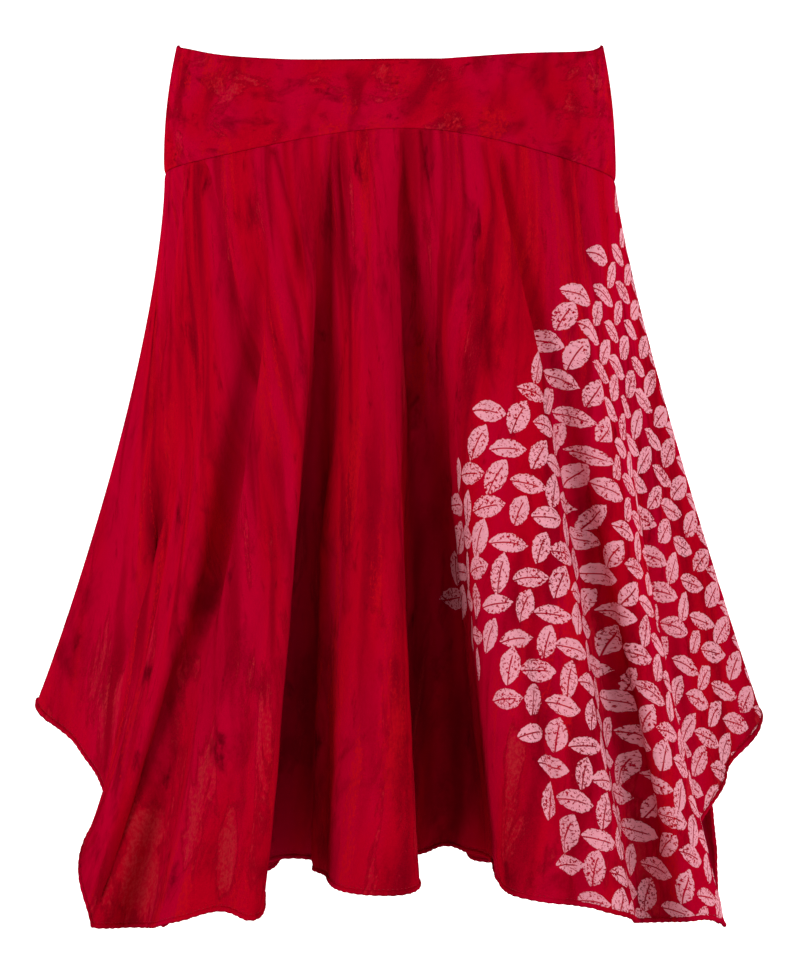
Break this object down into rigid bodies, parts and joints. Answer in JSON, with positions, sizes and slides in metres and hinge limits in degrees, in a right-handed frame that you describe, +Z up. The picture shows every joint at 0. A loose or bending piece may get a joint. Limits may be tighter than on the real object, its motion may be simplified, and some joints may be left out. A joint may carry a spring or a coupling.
{
  "type": "skirt with a yoke and a handkerchief hem",
  "caption": "Hand-dyed jersey skirt with a shaped yoke, deep hanging folds and a handkerchief hem, filled out and hollow, held at its waist",
  "frame": {"origin": "centre of the waist opening, level with the top of the side seams", "axes": "+Z up, -Y out of the front, +X to the right of someone who looks at the front; the skirt is as when worn"},
  "size_m": [0.5518, 0.4172, 0.6951],
  "materials": {
    "yoke_jersey": "smooth cotton jersey, two layers, crimson with blotchy hand-dyed shading",
    "panel_jersey": "smooth cotton jersey, crimson with streaks of orange red and maroon, and a pink print at one side"
  },
  "bodies": {
    "root": {"front_yoke": "yoke_jersey", "back_yoke": "yoke_jersey", "front_panel": "panel_jersey", "back_panel": "panel_jersey"}
  },
  "joints": []
}
